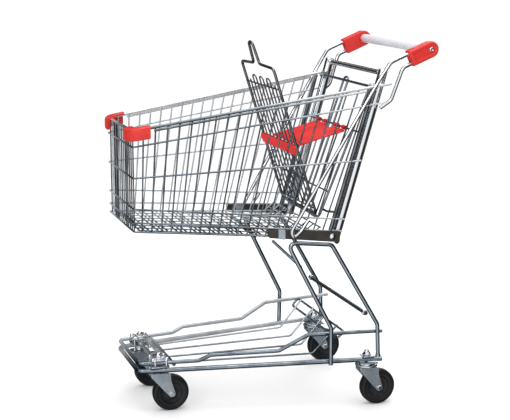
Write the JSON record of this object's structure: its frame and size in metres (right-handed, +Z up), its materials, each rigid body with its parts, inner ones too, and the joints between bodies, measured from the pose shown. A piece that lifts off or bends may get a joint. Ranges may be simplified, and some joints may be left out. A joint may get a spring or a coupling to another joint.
{
  "type": "shopping cart",
  "caption": "Wire basket shopping cart with folding child seat, swinging rear gate, red push-handle caps and swivel casters.",
  "frame": {"origin": "on the floor under the middle of the outer box", "axes": "+X to the right side, +Y to the rear where the handle is, +Z up"},
  "size_m": [0.4872, 0.8303, 1.0112],
  "materials": {
    "axle_bolt_front_left": "blue-grey zinc plate, satin",
    "axle_bolt_front_right": "blue-grey zinc plate, satin",
    "axle_bolt_rear_left": "blue-grey zinc plate, satin",
    "axle_bolt_rear_right": "blue-grey zinc plate, satin",
    "base_clamp_plate_left": "blue-grey zinc plate, satin",
    "base_clamp_plate_right": "blue-grey zinc plate, satin",
    "base_loop_lower": "bright zinc and chrome plate, polished",
    "base_loop_upper": "bright zinc and chrome plate, polished",
    "basket_rim": "bright zinc and chrome plate, polished",
    "caster_fork_front_left": "blue-grey zinc plate, satin",
    "caster_fork_front_right": "blue-grey zinc plate, satin",
    "caster_fork_rear_left": "blue-grey zinc plate, satin",
    "caster_fork_rear_right": "blue-grey zinc plate, satin",
    "caster_plate_front_left": "blue-grey zinc plate, satin",
    "caster_plate_front_right": "blue-grey zinc plate, satin",
    "caster_plate_rear_left": "blue-grey zinc plate, satin",
    "caster_plate_rear_right": "blue-grey zinc plate, satin",
    "corner_bumper_left": "red moulded plastic, satin",
    "corner_bumper_right": "red moulded plastic, satin",
    "floor_mat": "bright zinc and chrome plate, polished",
    "front_cross_plate": "bright zinc and chrome plate, polished",
    "front_panel": "bright zinc and chrome plate, polished",
    "grip_core_tube": "blue-grey zinc plate, satin",
    "grip_sleeve": "pale grey moulded plastic, fine grain",
    "handle_cap_left": "red moulded plastic, satin",
    "handle_cap_right": "red moulded plastic, satin",
    "handle_rod_lower_left": "bright zinc and chrome plate, polished",
    "handle_rod_lower_right": "bright zinc and chrome plate, polished",
    "handle_rod_upper_left": "bright zinc and chrome plate, polished",
    "handle_rod_upper_right": "bright zinc and chrome plate, polished",
    "leg_cross_bar": "bright zinc and chrome plate, polished",
    "leg_frame_left": "bright zinc and chrome plate, polished",
    "leg_frame_right": "bright zinc and chrome plate, polished",
    "rail_bolt_left": "blue-grey zinc plate, satin",
    "rail_bolt_right": "blue-grey zinc plate, satin",
    "rear_gate": "bright zinc and chrome plate, polished",
    "seat_back_frame": "bright zinc and chrome plate, polished",
    "seat_back_grille": "bright zinc and chrome plate, polished",
    "seat_flap": "red moulded plastic, satin",
    "seat_front_lip": "red moulded plastic, satin",
    "seat_hinge_clip_left": "bright zinc and chrome plate, polished",
    "seat_hinge_clip_right": "bright zinc and chrome plate, polished",
    "side_panel_left": "bright zinc and chrome plate, polished",
    "side_panel_right": "bright zinc and chrome plate, polished",
    "side_rail_left": "dark grey-brown painted steel, satin",
    "side_rail_right": "dark grey-brown painted steel, satin",
    "stretcher_bar": "bright zinc and chrome plate, polished",
    "tray_rack": "bright zinc and chrome plate, polished",
    "tray_rear_ring": "bright zinc and chrome plate, polished",
    "tyre_front_left": "black rubber tread",
    "tyre_front_right": "black rubber tread",
    "tyre_rear_left": "black rubber tread",
    "tyre_rear_right": "black rubber tread",
    "upright_left": "bright zinc and chrome plate, polished",
    "upright_right": "bright zinc and chrome plate, polished",
    "wheel_hub_front_left": "black nylon, satin",
    "wheel_hub_front_right": "black nylon, satin",
    "wheel_hub_rear_left": "black nylon, satin",
    "wheel_hub_rear_right": "black nylon, satin"
  },
  "bodies": {
    "frame": {"base_clamp_plate_left": "base_clamp_plate_left", "base_clamp_plate_right": "base_clamp_plate_right", "base_loop_lower": "base_loop_lower", "base_loop_upper": "base_loop_upper", "basket_rim": "basket_rim", "caster_plate_front_left": "caster_plate_front_left", "caster_plate_front_right": "caster_plate_front_right", "caster_plate_rear_left": "caster_plate_rear_left", "caster_plate_rear_right": "caster_plate_rear_right", "corner_bumper_left": "corner_bumper_left", "corner_bumper_right": "corner_bumper_right", "floor_mat": "floor_mat", "front_cross_plate": "front_cross_plate", "front_panel": "front_panel", "grip_core_tube": "grip_core_tube", "grip_sleeve": "grip_sleeve", "handle_cap_left": "handle_cap_left", "handle_cap_right": "handle_cap_right", "handle_rod_lower_left": "handle_rod_lower_left", "handle_rod_lower_right": "handle_rod_lower_right", "handle_rod_upper_left": "handle_rod_upper_left", "handle_rod_upper_right": "handle_rod_upper_right", "leg_cross_bar": "leg_cross_bar", "leg_frame_left": "leg_frame_left", "leg_frame_right": "leg_frame_right", "rail_bolt_left": "rail_bolt_left", "rail_bolt_right": "rail_bolt_right", "side_panel_left": "side_panel_left", "side_panel_right": "side_panel_right", "side_rail_left": "side_rail_left", "side_rail_right": "side_rail_right", "stretcher_bar": "stretcher_bar", "tray_rack": "tray_rack", "tray_rear_ring": "tray_rear_ring", "upright_left": "upright_left", "upright_right": "upright_right"},
    "gate": {"rear_gate": "rear_gate"},
    "seat_back": {"seat_back_frame": "seat_back_frame", "seat_back_grille": "seat_back_grille", "seat_front_lip": "seat_front_lip", "seat_hinge_clip_left": "seat_hinge_clip_left", "seat_hinge_clip_right": "seat_hinge_clip_right"},
    "seat_flap": {"seat_flap": "seat_flap"},
    "caster_front_left": {"caster_fork_front_left": "caster_fork_front_left", "axle_bolt_front_left": "axle_bolt_front_left"},
    "wheel_front_left": {"tyre_front_left": "tyre_front_left", "wheel_hub_front_left": "wheel_hub_front_left"},
    "caster_front_right": {"caster_fork_front_right": "caster_fork_front_right", "axle_bolt_front_right": "axle_bolt_front_right"},
    "wheel_front_right": {"tyre_front_right": "tyre_front_right", "wheel_hub_front_right": "wheel_hub_front_right"},
    "caster_rear_left": {"caster_fork_rear_left": "caster_fork_rear_left", "axle_bolt_rear_left": "axle_bolt_rear_left"},
    "wheel_rear_left": {"tyre_rear_left": "tyre_rear_left", "wheel_hub_rear_left": "wheel_hub_rear_left"},
    "caster_rear_right": {"caster_fork_rear_right": "caster_fork_rear_right", "axle_bolt_rear_right": "axle_bolt_rear_right"},
    "wheel_rear_right": {"tyre_rear_right": "tyre_rear_right", "wheel_hub_rear_right": "wheel_hub_rear_right"}
  },
  "joints": [
    {"name": "gate_swing", "type": "hinge", "parent": "frame", "child": "gate", "pos_m": [0, 0.2487, 0.88588], "axis": [1, 0, 0], "range_deg": [-70, 0]},
    {"name": "seat_back_fold", "type": "hinge", "parent": "gate", "child": "seat_back", "pos_m": [0, 0.12937, 0.52291], "axis": [1, 0, 0], "range_deg": [-30, 0]},
    {"name": "seat_flap_tilt", "type": "hinge", "parent": "gate", "child": "seat_flap", "pos_m": [0, 0.20925, 0.76589], "axis": [1, 0, 0], "range_deg": [-114, 0]},
    {"name": "swivel_front_left", "type": "hinge", "parent": "frame", "child": "caster_front_left", "pos_m": [-0.105, -0.31579, 0.115], "axis": [0, 0, 1], "continuous": true},
    {"name": "roll_front_left", "type": "hinge", "parent": "caster_front_left", "child": "wheel_front_left", "pos_m": [-0.105, -0.28079, 0.05], "axis": [1, 0, 0], "continuous": true},
    {"name": "swivel_front_right", "type": "hinge", "parent": "frame", "child": "caster_front_right", "pos_m": [0.105, -0.31579, 0.115], "axis": [0, 0, 1], "continuous": true},
    {"name": "roll_front_right", "type": "hinge", "parent": "caster_front_right", "child": "wheel_front_right", "pos_m": [0.105, -0.28079, 0.05], "axis": [1, 0, 0], "continuous": true},
    {"name": "swivel_rear_left", "type": "hinge", "parent": "frame", "child": "caster_rear_left", "pos_m": [-0.203, 0.25553, 0.115], "axis": [0, 0, 1], "continuous": true},
    {"name": "roll_rear_left", "type": "hinge", "parent": "caster_rear_left", "child": "wheel_rear_left", "pos_m": [-0.203, 0.29053, 0.05], "axis": [1, 0, 0], "continuous": true},
    {"name": "swivel_rear_right", "type": "hinge", "parent": "frame", "child": "caster_rear_right", "pos_m": [0.203, 0.25553, 0.115], "axis": [0, 0, 1], "continuous": true},
    {"name": "roll_rear_right", "type": "hinge", "parent": "caster_rear_right", "child": "wheel_rear_right", "pos_m": [0.203, 0.29053, 0.05], "axis": [1, 0, 0], "continuous": true}
  ],
  "couplings": [
    {"joint": "seat_flap_tilt", "follows": "seat_back_fold", "ratio": 3.75}
  ]
}
